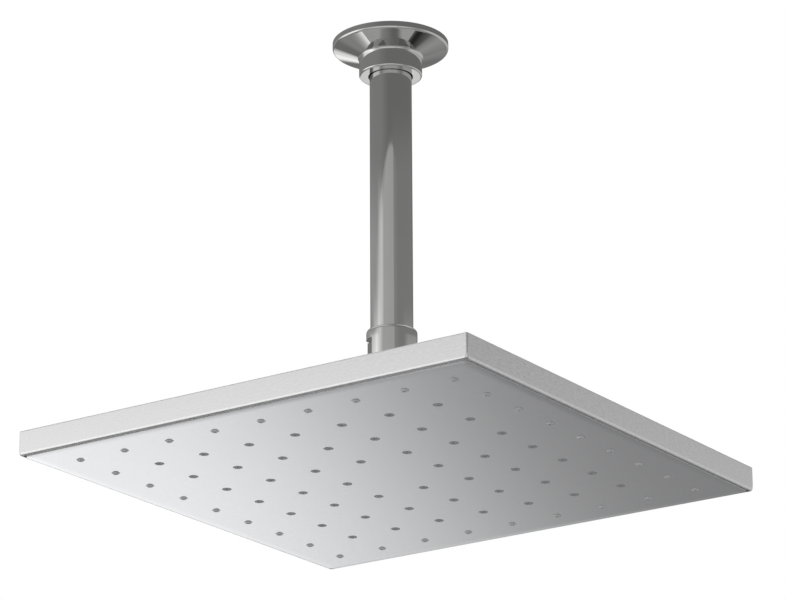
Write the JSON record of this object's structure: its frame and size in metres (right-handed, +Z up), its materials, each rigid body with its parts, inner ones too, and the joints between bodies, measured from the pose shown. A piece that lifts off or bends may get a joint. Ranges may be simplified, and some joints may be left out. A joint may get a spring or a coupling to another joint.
{
  "type": "square rain shower head with ceiling arm",
  "caption": "Square rain shower head with a flat nozzle face, hung by a ball swivel from a straight ceiling arm with a sliding flange.",
  "frame": {"origin": "on the arm's axis in the ceiling plane, where the flange meets the ceiling", "axes": "+Z up along the arm, X along one side of the square head"},
  "size_m": [0.254, 0.254, 0.2327],
  "materials": {
    "brushed_nickel": "fine brushed",
    "polished_nickel": "polished",
    "satin_face": "satin metallic",
    "soft_rubber": "matte silicone",
    "white_plastic": "moulded",
    "grey_plastic": "moulded",
    "plain_brass": "turned",
    "steel_mesh": "woven"
  },
  "bodies": {
    "arm": {"arm_tube": "polished_nickel", "swivel_ball": "polished_nickel", "inlet_screen": "steel_mesh", "screen_washer": "soft_rubber", "flow_regulator": "white_plastic", "regulator_o_ring": "soft_rubber"},
    "flange": {"ceiling_flange": "polished_nickel", "flange_o_ring": "soft_rubber"},
    "swivel_seat": {"ball_seat_ring": "white_plastic"},
    "swivel_seal": {"ball_seal": "soft_rubber"},
    "head": {"swivel_collar": "polished_nickel", "inlet_hub": "polished_nickel", "cover_washer": "soft_rubber", "hub_o_ring": "soft_rubber", "top_cover": "brushed_nickel", "inlet_insert": "plain_brass", "back_plate": "grey_plastic", "chamber_gasket": "soft_rubber", "flow_deflector": "white_plastic", "spray_face": "satin_face"}
  },
  "joints": [
    {"name": "flange_slide", "type": "slide", "parent": "arm", "child": "flange", "axis": [0, 0, -1], "range_m": [0, 0.131]},
    {"name": "head_tilt_x", "type": "hinge", "parent": "arm", "child": "swivel_seat", "pos_m": [0, 0, -0.189], "axis": [1, 0, 0], "range_deg": [-12, 12]},
    {"name": "head_tilt_y", "type": "hinge", "parent": "swivel_seat", "child": "swivel_seal", "pos_m": [0, 0, -0.189], "axis": [0, 1, 0], "range_deg": [-12, 12]},
    {"name": "head_spin", "type": "hinge", "parent": "swivel_seal", "child": "head", "pos_m": [0, 0, -0.189], "axis": [0, 0, 1], "continuous": true}
  ]
}
